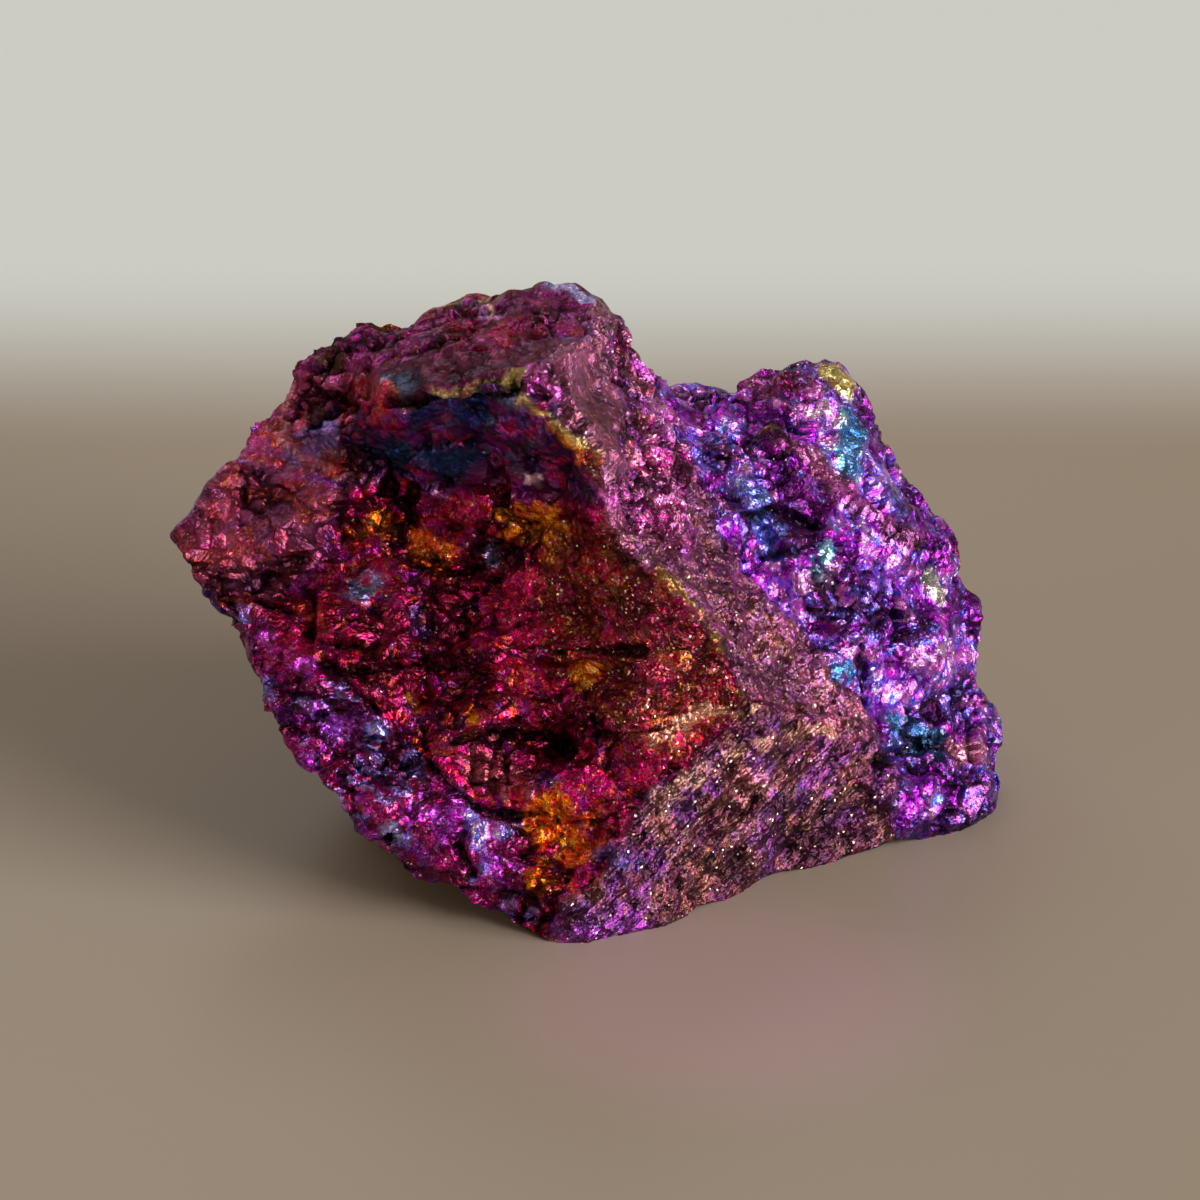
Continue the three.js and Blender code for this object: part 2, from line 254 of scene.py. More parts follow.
# Places on the front are given as (across, up), square to the line of sight, up from the lowest point seen.
across = points[:, 0]
up = points @ np.array(upward)
lowest = up.min()
up = up - lowest
in_sight = (-0.2, 0.1)  # how far a face has to turn to the eye to count as seen; 1 is square to it
facing = smoothstep(*in_sight, soften(normals @ -np.array(forward), 6))

# The zones of the front, by their corners; a later zone covers an earlier one.
zones = {
    "top": [
        (-45, 71.5), (-37.5, 79), (-24.5, 84), (-9.5, 88), (3, 84), (-1.5, 77.5), (-3.5, 77.5),
        (-11.5, 75.5), (-20.5, 74.5), (-26.5, 73), (-33.5, 73),
    ],
    "shelf": [
        (-26.5, 73), (-20.5, 74.5), (-11.5, 75.5), (-3.5, 77.5), (-1.5, 77.5), (-4, 75), (-9, 72),
        (-13, 71), (-19, 70), (-24, 68),
    ],
    "wall": [
        (-26.5, 72.5), (-24, 68), (-19, 70), (-13, 71), (-9, 72), (-5.5, 69.5), (1.5, 60.5), (2, 56),
        (-3.5, 56.5), (-14, 58), (-22, 57.5), (-29.5, 59), (-31, 64.5),
    ],
    "bulge": [
        (-47, 71), (-33.5, 73), (-26.5, 72.5), (-31, 64.5), (-29.5, 59), (-37.5, 59), (-47, 62.5),
    ],
    "lobe": [
        (-57, 52.5), (-47, 62.5), (-37.5, 59), (-31, 58), (-33.5, 49), (-42, 42), (-52, 43),
    ],
    "hollow": [
        (-33.5, 49), (-31, 58), (-22, 57.5), (-14, 58), (-3.5, 56.5), (2, 56), (2, 54), (5, 49.5),
        (9, 47.5), (12.5, 43.5), (15.5, 40), (17, 36.5), (19.5, 31.5), (12.5, 23.5), (6.5, 17),
        (1.5, 10), (-3.5, 5.5), (-7, -2), (-8.5, 16), (-13, 16.5), (-17.5, 20), (-27, 29.5),
        (-34.5, 36), (-42, 42),
    ],
    "glitter": [
        (-4, 55), (2, 54), (5, 49.5), (9, 47.5), (12.5, 43.5), (15.5, 40), (17, 36.5), (19.5, 31.5),
        (12.5, 23.5), (7, 25), (0, 28), (-5, 36), (-7, 43), (-6, 50),
    ],
    "flank": [
        (-52, 43), (-42, 42), (-34.5, 36), (-27, 29.5), (-17.5, 20), (-13, 16.5), (-8.5, 16), (-7, -2),
        (-30, 7), (-41, 24), (-50, 36),
    ],
    "band": [
        (-1.5, 77.5), (3, 84), (10, 75.5), (11, 66.5), (13, 60.5), (16.5, 54), (20, 47.5),
        (24.5, 42.5), (29, 37), (32.5, 32), (39, 25.5), (20, 31), (17, 36.5), (15.5, 40), (12.5, 43.5),
        (9, 47.5), (5, 49.5), (2, 54), (0, 61), (-4.5, 69.5), (-5, 75),
    ],
    "bevel": [
        (20, 31), (39, 25.5), (41, 21.5), (39.5, 18), (39.5, 10), (32.5, 8), (14.5, 2), (-7, -2),
        (-3.5, 5.5), (1.5, 10), (6.5, 17), (12.5, 23.5),
    ],
    "violet": [
        (3, 84), (10, 75.5), (17, 73), (21, 76), (27.5, 78), (38, 76), (48, 60.5), (55, 49),
        (55, 33.5), (57, 23), (57, 12), (39.5, 10), (39.5, 18), (41, 21.5), (39, 25.5), (32.5, 32),
        (29, 37), (24.5, 42.5), (20, 47.5), (16.5, 54), (13, 60.5), (11, 66.5),
    ],
    "crest": [
        (-4, 76.4), (0.4, 76.4), (4.1, 71.1), (4.5, 62.9), (6.5, 55.4), (9.4, 50.1), (1.6, 60.6),
        (-3.6, 73),
    ],
    "magenta": [
        (2.1, 78), (6, 77.5), (8.5, 72), (12.4, 66.3), (13, 60.5), (11.8, 56.6), (14.3, 51.4),
        (13, 48.8), (8.5, 50.8), (3.5, 53), (3, 58), (6, 59), (4.7, 62.9), (4.3, 71),
    ],
}
wander = 1.3  # how far a zone's edge strays
zone_blend = 5  # times that it is softened


def inside(corners):
    """True for the points that lie within the corners, whose sides are made uneven."""
    x = across + wander * waves(4, 71)
    y = up + wander * waves(4, 72)
    within = np.zeros(len(points), bool)
    for (x0, y0), (x1, y1) in zip(corners, corners[1:] + corners[:1]):
        if y0 != y1:
            within ^= ((y0 > y) != (y1 > y)) & (x < x0 + (x1 - x0) * (y - y0) / (y1 - y0))
    return within


share = {}
for name, corners in zones.items():
    covered = soften(inside(corners) * facing, zone_blend)
    for other in share:
        share[other] = share[other] * (1 - covered)
    share[name] = covered

# The hidden sides are in part red, violet or mauve, in wide areas.
hidden = np.clip(1 - sum(share.values()), 0, 1)
drift = waves(20, 73) + 0.4 * waves(8, 74)
red_above = (0.0, 0.3)
violet_below = (-0.3, -0.1)
share["back_red"] = hidden * smoothstep(*red_above, drift)
share["back_violet"] = hidden * (1 - smoothstep(*violet_below, drift))
share["back_mauve"] = hidden - share["back_red"] - share["back_violet"]

# Streaks on the bevel run from the lower left to the upper right: the stone is stretched along them.
streak_direction = np.array([0.72, 0.45, 0.53])
streak_direction /= np.linalg.norm(streak_direction)
streak_length = 4.5
along_streak = points @ streak_direction
streaked = points - np.outer(along_streak * (1 - 1 / streak_length), streak_direction)

layered = points * [0.55, 1, 1.25]  # the hollow breaks in layers that lie across it
relief_kinds = {
    "scallops": chips(size=7.5, depth=2.2, slope=0.3, seed=10),
    "facets": chips(size=5.0, depth=1.1, slope=0.45, seed=20),
    "nodules": chips(size=6.0, depth=3.6, slope=0.1, seed=30),
    "layers": flakes(size=6.0, slope=0.2, step=1.1, seed=200, at=layered),
    "flakes": flakes(size=3.2, slope=0.3, step=0.4, seed=300),
    "splinters": flakes(size=1.6, slope=0.36, step=0.28, seed=400),
    "streaks": flakes(size=1.5, slope=0.3, step=0.35, seed=500, at=streaked),
}

# How strongly each zone shows each kind of relief. Below zero, domes become scallops with sharp rims.
strengths = {
    "top": {"facets": 0.35, "layers": 0.5, "flakes": 0.4, "splinters": 0.5},
    "shelf": {"facets": 0.2, "flakes": 0.25, "splinters": 0.3},
    "wall": {"facets": 0.3, "layers": 0.9, "flakes": 0.2, "splinters": 0.1},
    "bulge": {"scallops": -0.3, "facets": 0.6, "layers": 0.4, "flakes": 0.4, "splinters": 0.3},
    "lobe": {"scallops": -0.3, "facets": 0.7, "layers": 0.3, "flakes": 0.5, "splinters": 0.3},
    "hollow": {"scallops": -0.7, "facets": 0.9, "layers": 0.6, "flakes": 0.6, "splinters": 0.4},
    "glitter": {"scallops": -0.3, "facets": 0.4, "layers": 0.4, "flakes": 0.5, "splinters": 0.5},
    "flank": {"scallops": -0.4, "facets": 0.8, "layers": 0.4, "flakes": 0.6, "splinters": 0.6},
    "band": {"facets": 0.3, "flakes": 0.6, "splinters": 0.7, "streaks": 0.5},
    "bevel": {"facets": 0.2, "flakes": 0.2, "splinters": 0.4, "streaks": 0.9},
    "violet": {
        "scallops": -0.6, "facets": 1.1, "flakes": 0.5, "splinters": 0.4, "nodules": 0.2, "streaks": 0.5,
    },
    "crest": {"facets": 0.25, "flakes": 0.4, "splinters": 0.4},
    "magenta": {"facets": 0.6, "flakes": 0.9, "splinters": 1.0},
    "back_red": {"scallops": -0.7, "facets": 0.9, "layers": 0.5, "flakes": 0.6, "splinters": 0.4},
    "back_violet": {"scallops": -0.8, "facets": 1.0, "layers": 0.4, "flakes": 0.4, "splinters": 0.4},
    "back_mauve": {"scallops": -0.6, "facets": 0.7, "layers": 0.7, "flakes": 0.4, "splinters": 0.3},
}
relief = np.zeros(len(points))
for zone, kinds in strengths.items():
    for kind, strength in kinds.items():
        relief += strength * share[zone] * relief_kinds[kind][0]

# Cracks and edges follow lines on the front, found on the solid along the line of sight.
skin = BVHTree.FromPolygons(
    [v.co / millimetre for v in solid.data.vertices], [p.vertices for p in solid.data.polygons]
)
far = 300


def on_stone(places):
    """The points of the stone that are seen at these places."""
    found = []
    for x, y in places:
        start = Vector((x, 0, 0)) + upward * (y + lowest) - forward * far
        hit = skin.ray_cast(start, forward)[0]
        found.append(np.array(hit or skin.find_nearest(start + forward * far)[0]))
    return found


def distance_to(places, at=points):
    """How far each point of the stone is from the line through these places."""
    line = on_stone(places)
    nearest = np.full(len(at), np.inf)
    for start, end in zip(line, line[1:] or line):
        run = end - start
        t = np.clip((at - start) @ run / max(run @ run, 1e-6), 0, 1)
        nearest = np.minimum(nearest, np.linalg.norm(at - start - np.outer(t, run), axis=1))
    return nearest


cracks = {
    "hollow_upper": [(-30, 34.5), (-20, 36), (-10, 36.7), (-2, 37), (6.5, 37)],
    "hollow_lower": [(-17, 26), (-11, 26.5), (-5, 26.8)],
    "hollow_upright": [(-3.5, 31), (-3.5, 36.5)],
    "pit": [(-4, 26), (-3.2, 24.6)],
    "flank_upper": [(-34, 36), (-27, 29.5)],
    "flank_lower": [(-21, 23.5), (-17.5, 20), (-13, 16.5), (-9, 16)],
    "under_lip": [(-25, 68.6), (-19, 69), (-13, 69.8), (-9.5, 70.2)],
    "cavity": [(-16.5, 12), (-15, 9)],
    "nodule_gap_upper": [(20, 54), (24, 55), (29, 54)],
    "nodule_gap_lower": [(22, 49), (27, 50), (30, 51)],
    "nodule_gap_right": [(35, 36), (36, 33), (36, 31)],
    "toe_groove": [(37, 23), (43, 25), (49, 23.5)],
}
crack_width = 0.75
crack_depth = 1.1
crack_floor = 0.3  # of the width
crack_rim = 1.6
crack = np.zeros(len(points))
for places in cracks.values():
    width = crack_width * (1 + 0.5 * waves(5, 81))
    gap = 1 - smoothstep(crack_floor * width, crack_rim * width, distance_to(places))
    crack = np.maximum(crack, gap)
relief -= crack_depth * crack

# Finer cracks run between some of the flakes.
hairline = 0.28
broken = smoothstep(-0.1, 0.4, waves(6, 83) + 0.3 * waves(2.5, 84))
cracked_zones = ("top", "wall", "bulge", "lobe", "hollow", "flank", "magenta", "violet")
broken *= sum(share[zone] for zone in cracked_zones) + hidden
hairline_depths = {"layers": 0.6, "flakes": 0.45}
hairline_floor = 0.3  # of the width
hairline_rim = 1.5
hairline_shade = 0.85
for kind, depth in hairline_depths.items():
    rim = relief_kinds[kind][3]
    gap = broken * (1 - smoothstep(hairline_floor * hairline, hairline_rim * hairline, rim))
    relief -= depth * gap
    crack = np.maximum(crack, hairline_shade * gap)

# Raised ribs: [height, width, places]
ribs = {
    "shoulder": [1.5, 1.3, [(22.7, 65), (30, 60), (36, 55), (42.5, 50.8)]],
    "nugget": [1.2, 1.2, [(31, 72), (33, 70.2)]],
    "knob_left": [0.9, 1.0, [(25, 72), (24, 66.5)]],
    "knob_middle": [1.0, 1.0, [(31, 70), (28.5, 65), (27, 62.5)]],
    "knob_right": [0.9, 1.0, [(36, 67), (33.5, 61), (33, 58)]],
    "lip_left": [0.6, 1.2, [(-26, 70), (-20, 70.5), (-13, 71.5), (-9, 72.5)]],
    "lip_trim": [0.5, 1.2, [(-8.5, 69.5), (-6, 67.5), (-2.5, 65.3), (1, 62)]],
    "block_left": [1.0, 1.2, [(19, 58), (21, 54), (22, 50)]],
    "block_middle": [1.2, 1.4, [(24, 53), (26, 49), (27, 45)]],
    "block_right": [0.9, 1.2, [(33, 49), (34, 45), (36, 41)]],
}
rib_end = 1.6  # of the width
for height, width, places in ribs.values():
    reach = distance_to(places) / width + 0.5 * waves(3, 82)
    relief += height * (1 - smoothstep(0, rib_end, reach)) * facing

# No chip stands out much further than this.
proud = 1.8
relief = np.where(relief > 0, proud * np.tanh(relief / proud), relief)

# The foot stays flat on the table.
flat_below = 0.05
rough_above = 2.0
relief *= smoothstep(flat_below, rough_above, points[:, 2])
shaped = points + normals * relief[:, None]
shaped[:, 2] = np.maximum(shaped[:, 2], 0)
stone.data.vertices.foreach_set("co", (shaped * millimetre).astype(np.float32).ravel())
stone.data.update()


# The ore: tarnish, painted shade and painted highlights
# The copper and iron sulphide has tarnished in films of many thicknesses, which show as crimson, gold,
# magenta, violet and blue. Worn edges and fresh breaks show the brassy metal, and deep gaps are painted
# almost black as painted shade.
def tint(code):
    """A colour written as a screen colour, as the light values that the shader takes."""
    channels = np.array([int(code[n:n + 2], 16) / 255 for n in (1, 3, 5)])
    return np.where(channels < 0.04045, channels / 12.92, ((channels + 0.055) / 1.055) ** 2.4)


# The colours found in each zone, which change from flake to flake, and how light the zone is painted
tarnish = {
    "top": ["#6e2038", "#7a2450", "#581c28", "#64304a", "#7c2a6c", "#5c2024"],
    "shelf": ["#64283c", "#5a2c44", "#70344a", "#4c3048"],
    "wall": ["#161434", "#2c0e2c", "#14202e", "#44102a", "#2c1240", "#5a162e"],
    "bulge": ["#5c2430", "#70344a", "#58284c", "#5c2018", "#64404c"],
    "lobe": ["#5c2430", "#6c3448", "#541c2c", "#5c3050", "#602824"],
    "hollow": ["#641030", "#741848", "#70281c", "#4c1450", "#741424", "#380f18", "#802044"],
    "glitter": ["#601c20", "#6c1830", "#5c3018", "#4c101c", "#70203c", "#5a2418"],
    "flank": ["#6c1040", "#701c58", "#54102a", "#7c3490", "#641640", "#741c48", "#7c78cc"],
    "band": ["#7c4860", "#6c3850", "#905078", "#704438", "#94588c", "#744454"],
    "bevel": ["#643048", "#4c2038", "#7c4848", "#905468", "#743884", "#542444"],
    "violet": ["#7c2c98", "#582080", "#b848c0", "#4c60d0", "#e080cc", "#50208c", "#8c7ce8", "#6c2060"],
    "crest": ["#844c68", "#704058", "#90506c", "#6c4c70", "#7c4450"],
    "magenta": ["#b04894", "#8c2c60", "#d478b4", "#641c48", "#9448a8", "#b86878"],
    "back_red": ["#641030", "#741848", "#70281c", "#4c1450", "#741424", "#501428", "#802044"],
    "back_violet": ["#702c90", "#502078", "#a448b0", "#4c60c8", "#6c2468", "#50208c", "#8474d8"],
    "back_mauve": ["#643048", "#743450", "#541c30", "#6c4060", "#602824", "#703c70"],
}
# Partly the film's own lightness, partly painted light: zones turned away from the window, most of all the
# overhanging wall, are painted lighter to make up for their shade.
lightness = {
    "top": 1.4, "shelf": 1.1, "wall": 6.0, "bulge": 4.4, "lobe": 2.8, "hollow": 2.9, "glitter": 2.1,
    "flank": 1.9, "band": 1.35, "bevel": 0.85, "violet": 1.7, "crest": 1.6, "magenta": 1.5,
    "back_red": 2.4, "back_violet": 1.6, "back_mauve": 1.8,
}
# How much the flakes of a zone differ in tone; elsewhere 1
contrast = {"violet": 1.3, "flank": 1.4, "magenta": 1.6, "hollow": 1.2, "top": 1.4}
flake_chance = relief_kinds["flakes"][1]
splinter_chance = relief_kinds["splinters"][1]
facet_chance = relief_kinds["facets"][1]


def another(chance, key):
    """A second random number from 0 to 1, made from the first."""
    return chance * key % 1


hue = 0.7 * waves(9, 91) + 0.25 * waves(3, 92)
hue = (hue + 0.6 * facet_chance + 0.3 * flake_chance + 0.25 * splinter_chance) % 1
tone = 0.4 * waves(5, 93)
tone = tone + 0.7 * (another(splinter_chance, 7.7) - 0.5) + 0.6 * (another(flake_chance, 5.3) - 0.5)
colour = np.zeros((len(points), 3))
for zone, codes in tarnish.items():
    steps = np.array([tint(code) for code in codes + codes[:1]]) * lightness[zone]
    scale = np.linspace(0, 1, len(steps))
    mixed = np.stack([np.interp(hue, scale, steps[:, n]) for n in range(3)], axis=1)
    colour += (share[zone] * np.exp(contrast.get(zone, 1) * tone))[:, None] * mixed
colour /= sum(share.values())[:, None]

# Patches of other colours, and painted highlights: [colour, radius, places it runs through]
patches = {
    "orange_far_left": ["#b4600e", 2.0, [(-27.5, 53.5), (-25, 53)]],
    "orange_left": ["#b04e12", 2.2, [(-22, 50), (-19, 48.5)]],
    "orange_under_wall": ["#bc6a0c", 2.9, [(-9.5, 53), (-5, 52.5)]],
    "rust_on_trim": ["#8a3c14", 1.2, [(-4, 65.5), (0, 61.5)]],
    "gold_middle": ["#c8780e", 1.8, [(-0.5, 34)]],
    "gold_by_crack": ["#b8600e", 1.6, [(-15, 28)]],
    "orange_low": ["#c8640c", 3.8, [(-4.5, 15), (-2, 13)]],
    "orange_lowest": ["#a84a10", 2.2, [(-6, 8)]],
    "slate_left": ["#5a6690", 2.4, [(-28.5, 44.5)]],
    "plum_left": ["#5a3a74", 2.2, [(-22, 40)]],
    # A painted highlight: a pale lilac spot where the hollow's gloss catches the light.
    "lilac_painted_highlight": ["#c8b4f0", 1.4, [(-13, 50), (-12.5, 48.5)]],
    "navy_by_pit": ["#141a50", 2.2, [(-6, 21)]],
    "rose_under_crack": ["#8a4454", 3.0, [(-14, 22), (-8, 21.5)]],
    "slate_bulge": ["#4a5488", 2.4, [(-34, 65)]],
    "teal_wall_foot": ["#0e2a44", 2.8, [(-28, 62), (-24, 62)]],
    "crimson_wall_end": ["#7a1420", 2.2, [(-27, 69)]],
    "steel_lip_end": ["#4a5878", 2.2, [(-26, 71.5), (-23, 71)]],
    # Painted highlights on the top: small pale spots that stand in for the light its facets catch.
    "lilac_painted_highlight_summit": ["#b8b4f0", 1.0, [(-5, 83.5), (0, 82)]],
    "pink_painted_highlight_top": ["#c890d8", 0.8, [(-14, 80.5), (-11.5, 80)]],
    "peach_painted_highlight_top": ["#e0b0a0", 0.6, [(-13, 82), (-12.6, 79.5)]],
    "pale_painted_highlight_top": ["#e0b8b8", 0.5, [(-8, 78.6)]],
    # Painted highlights: pale flecks that stand in for glints along the foot of the wall.
    "painted_highlight_wall_left": ["#d8b0f0", 0.8, [(-30, 58.5)]],
    "painted_highlight_wall_middle": ["#c898f0", 0.7, [(-19.5, 57.6), (-17, 56.8)]],
    "painted_highlight_wall_right": ["#d8b0c0", 0.45, [(-7.5, 58.6)]],
    "navy_wall": ["#0c2038", 3.4, [(-27, 61.5), (-17, 62)]],
    "navy_under_lip": ["#0e1a40", 2.4, [(-21, 67.5), (-15, 68)]],
    # Another painted highlight at the wall's foot.
    "painted_highlight_wall_foot": ["#d890e0", 0.8, [(-12, 56.6), (-10, 57)]],
    "pink_lip_corner": ["#d86ac8", 1.8, [(-8, 72), (-4.5, 69.5)]],
    "pink_band_top": ["#e07ae0", 1.6, [(9, 69), (10.5, 62)]],
    "pink_band_middle": ["#d86ac0", 1.6, [(3, 57), (6, 55)]],
    "pink_block": ["#e8a0e0", 1.8, [(31, 48), (28, 46)]],
    "pink_knob": ["#e89ac8", 1.6, [(28, 62), (31, 59.5)]],
    "blue_knob": ["#5aa4e8", 2.6, [(33.8, 66), (33, 61.5)]],
    "ice_blue_facet": ["#8ad0f0", 1.4, [(29.6, 47.3), (31, 49.5)]],
    "mauve_shoulder": ["#8a4870", 1.5, [(23.5, 64.2), (30, 59.8), (36, 54.8), (42, 50.8)]],
    "dark_groove": ["#4a1450", 1.9, [(19, 51), (24, 54.5), (29, 57.5)]],
    "dark_block": ["#401048", 2.2, [(26, 52), (29, 53)]],
    # A painted highlight: a coral spot for the light caught near the right edge.
    "coral_painted_highlight_right_edge": ["#e8988a", 1.3, [(38.5, 60), (41, 55.5)]],
    "blue_by_band": ["#4a8ac8", 2.4, [(33, 35)]],
    "teal_toe": ["#2a6a8a", 3.0, [(40, 27), (45, 25.5)]],
    "blue_block": ["#7084e0", 2.6, [(20, 58), (23, 51)]],
    # A painted highlight: a pink spot on the ledge at the top of the toe.
    "pink_painted_highlight_toe": ["#e89ab0", 2.0, [(47, 25), (51, 23.5)]],
    "maroon_knob": ["#6a1c34", 3.0, [(20.5, 72), (26, 71)]],
    "lilac_flank": ["#a8a4f4", 1.4, [(-25, 14)]],
    "blue_flank": ["#8a80f0", 1.5, [(-14.5, 15), (-13, 9)]],
    "violet_flank": ["#b060d8", 2.6, [(-33, 28)]],
    "plum_bevel_foot": ["#52407c", 1.5, [(1.5, 11), (6, 10)]],
    "gold_left": ["#b48828", 1.0, [(-23, 31), (-21.5, 30.5)]],
    "gold_shoulder": ["#d8a840", 0.9, [(22.7, 65.4)]],
    "gold_right_edge": ["#d8a840", 0.8, [(48.5, 49.3)]],
    # Painted highlight: a pale tan line along the bevel's upper edge.
    "tan_painted_highlight_bevel_top": ["#b08070", 0.8, [(8, 26), (14, 29), (22, 30)]],
    "violet_bevel_tip": ["#8a3c9c", 1.6, [(-4, 1), (6, 2.5)]],
    "magenta_bevel_foot": ["#e070e0", 2.0, [(15, 4.5), (24, 7), (33, 10)]],
    # Painted highlights: pale tan flecks along the bevel's upper edge.
    "tan_painted_highlight_bevel_left": ["#a07068", 1.5, [(9, 18.5), (14, 21.5)]],
    "tan_painted_highlight_bevel_middle": ["#a87468", 1.2, [(18, 24), (22, 25)]],
    "tan_painted_highlight_bevel_right": ["#a07064", 1.3, [(26, 26), (31, 27)]],
    "dark_toe": ["#3a1458", 2.4, [(41, 13.5), (50, 15)]],
    "plum_bulge": ["#54406c", 2.0, [(-37, 61), (-33, 66)]],
    "olive_top_left": ["#4a3a20", 2.0, [(-33, 74)]],
    "crimson_by_lip": ["#6a1420", 2.4, [(-29, 70.5), (-26, 69)]],
}
patch_points = 0.4 * points + 0.6 * relief_kinds["splinters"][2]  # a patch takes whole splinters
# Patches are as light as their zone, so they carry the same painted light on the zones that lie in shade.
patch_light = sum(share[zone] * lightness[zone] ** 0.75 for zone in share) / sum(share.values())
patch_light *= np.exp(0.7 * tone)
patch_cover = 0.85
patch_rim = (0.6, 1.1)  # of the radius
for code, radius, places in patches.values():
    reach = distance_to(places, patch_points) / radius + 0.6 * waves(1.5, 101) + 0.4 * waves(4, 102)
    cover = patch_cover * (1 - smoothstep(*patch_rim, reach)) * facing
    colour += cover[:, None] * (patch_light[:, None] * tint(code) - colour)

# On the hidden sides, single facets of other colours: [colour, share of the facets, where the share starts]
odd_facets = {
    "orange": ["#b8640e", 0.07, 0.0],
    "blue": ["#3c5cb8", 0.08, 0.1],
    "brass": ["#b0884c", 0.03, 0.2],
    "lilac": ["#9c4cb0", 0.08, 0.3],
}
facet_cover = 0.45
for code, portion, start in odd_facets.values():
    chosen = (facet_chance > start) & (facet_chance < start + portion)
    cover = facet_cover * hidden * soften(chosen.astype(float), 2)
    colour += cover[:, None] * (patch_light[:, None] * tint(code) - colour)

# Bare metal: [colour, radius, places]
bare_spots = {
    "brassy_nugget": ["#f4dc98", 1.8, [(31, 72), (33, 70.2)]],
    "pale_chip": ["#f4f0e8", 1.5, [(44.5, 46.8), (45.5, 43.8)]],
}
spot_rim = (0.7, 1.0)  # of the radius
for code, radius, places in bare_spots.values():
    reach = distance_to(places) / radius + 0.35 * waves(1.5, 103)
    cover = (1 - smoothstep(*spot_rim, reach)) * facing
    colour += cover[:, None] * (tint(code) - colour)

# Worn brassy edges, those on the lip with a painted highlight: [colour, width, places]
wear_and_painted_highlight_edges = {
    # The two lip edges are paler than the ridge: worn brass with a painted highlight, where the wall lies
    # in shade.
    "lip": ["#e0c088", 0.7, [(-20, 70), (-13, 71), (-8.5, 72)]],
    "lip_trim": ["#f0cc80", 0.9, [(-8.5, 69), (-6, 67), (-2.5, 64.8), (1, 61.5)]],
    "hollow_ridge": [
        "#c49a5c", 0.5,
        [(1.5, 60.5), (2, 54), (5, 49.8), (8.5, 47.8), (12.5, 44), (15.5, 40), (17, 36.5), (19.5, 31.5)],
    ],
}
edge_cover = 0.9
edge_rim = (0.4, 1.1)  # of the width
brassy_splinters = (0.35, 0.5)  # splinters below this random number keep their tarnish
for code, width, places in wear_and_painted_highlight_edges.values():
    reach = distance_to(places) / width + 0.6 * waves(1.2, 111) + 1.2 * waves(4, 112)
    cover = edge_cover * (1 - smoothstep(*edge_rim, reach)) * facing
    cover *= smoothstep(*brassy_splinters, splinter_chance)
    colour += cover[:, None] * (tint(code) - colour)

# Gaps and creases are darker.
gap_depths = (0.02, 0.5)
gap_shade = 0.75
dip_depths = (0, 0.15)
dip_shade = 0.2
deepest_shade = 0.9
crack_shade = 0.93
depth = soften(relief, 12) - relief
shadow = gap_shade * smoothstep(*gap_depths, depth) + dip_shade * smoothstep(*dip_depths, depth)
shadow = np.maximum(np.clip(shadow, 0, deepest_shade), crack_shade * crack)
colour *= 1 - shadow[:, None]

layer = stone.data.color_attributes.new("tarnish", "FLOAT_COLOR", "POINT")
layer.data.foreach_set("color", np.c_[colour, np.ones(len(points))].astype(np.float32).ravel())

# How densely painted glints (pale crumbs) are scattered, how crystalline each zone is, and how dull its
# faces are
sparkle = {
    "hollow": 0.15, "glitter": 1.0, "bevel": 0.35, "band": 0.6, "violet": 0.1, "flank": 0.2, "magenta": 0.3,
}
crystalline = {
    "violet": 0.6, "bevel": 0.9, "flank": 0.6, "band": 1.0, "glitter": 0.6, "hollow": 0.4, "crest": 0.5,
    "magenta": 1.1, "top": 0.5, "back_violet": 0.7, "back_red": 0.5,
}
dullness = {
    "band": 0.38, "shelf": 0.45, "bulge": 0.4, "lobe": 0.4, "bevel": 0.36, "wall": 0.34, "top": 0.38,
    "crest": 0.45,
}
elsewhere = 0.3  # how crystalline and how dull the other zones are
glints = sum(share[zone] * value for zone, value in sparkle.items())
turns = sum(share[zone] * crystalline.get(zone, elsewhere) for zone in share)
dull = sum(share[zone] * dullness.get(zone, elsewhere) for zone in share)
for name, values in (("glints", glints), ("turns", turns), ("dull", dull)):
    layer = stone.data.attributes.new(name, "FLOAT", "POINT")
    layer.data.foreach_set("value", values.astype(np.float32))

# The fine ridges of each flake lie their own way: the stone is stretched along them for the shader.
ridge_length = 4
turn = 2 * np.pi * another(flake_chance, 17.3)
rise = 2 * another(flake_chance, 91.7) - 1
level = np.sqrt(1 - rise * rise)
ridges = np.stack([level * np.cos(turn), level * np.sin(turn), rise], axis=1)
rubbed = share["band"] + share["bevel"] + share["crest"] > 0.5
ridges[rubbed] = streak_direction
along_ridge = (points * ridges).sum(1) * (1 - 1 / ridge_length)
lay = (points - along_ridge[:, None] * ridges) * millimetre
layer = stone.data.attributes.new("lay", "FLOAT_VECTOR", "POINT")
layer.data.foreach_set("vector", lay.astype(np.float32).ravel())


# The ore: finish
# A metallic, crystalline break: each crystal face is turned its own way and differs a little in colour, so
# that some flash in the window's light and others stay dark.
splinter = 0.46 * millimetre  # width of the splintery crystals, which are longer along the flake's ridges
crumb = 0.26 * millimetre
crystal_tilt = 0.55
ridge = 0.6 * millimetre
ridge_height = 0.35 * millimetre
ridge_hue = 0.14  # how far the hue goes round from ridge to ridge
crystal_hue = 0.05
ridge_contrast = 1.5
least_contrast = 0.2  # of crystals in tone, where a zone is not crystalline
added_contrast = 0.8  # where it is
richest = 1.12  # how strong the colour is, at most
paling = 0.6  # and how much of it a pale crumb loses
paling_power = 3.0  # high, so that few crumbs are pale
glint_part = 0.025  # of the crumbs, where a zone sparkles most
glint_colour = (0.85, 0.62, 0.5, 1)
roughness_spread = 0.1

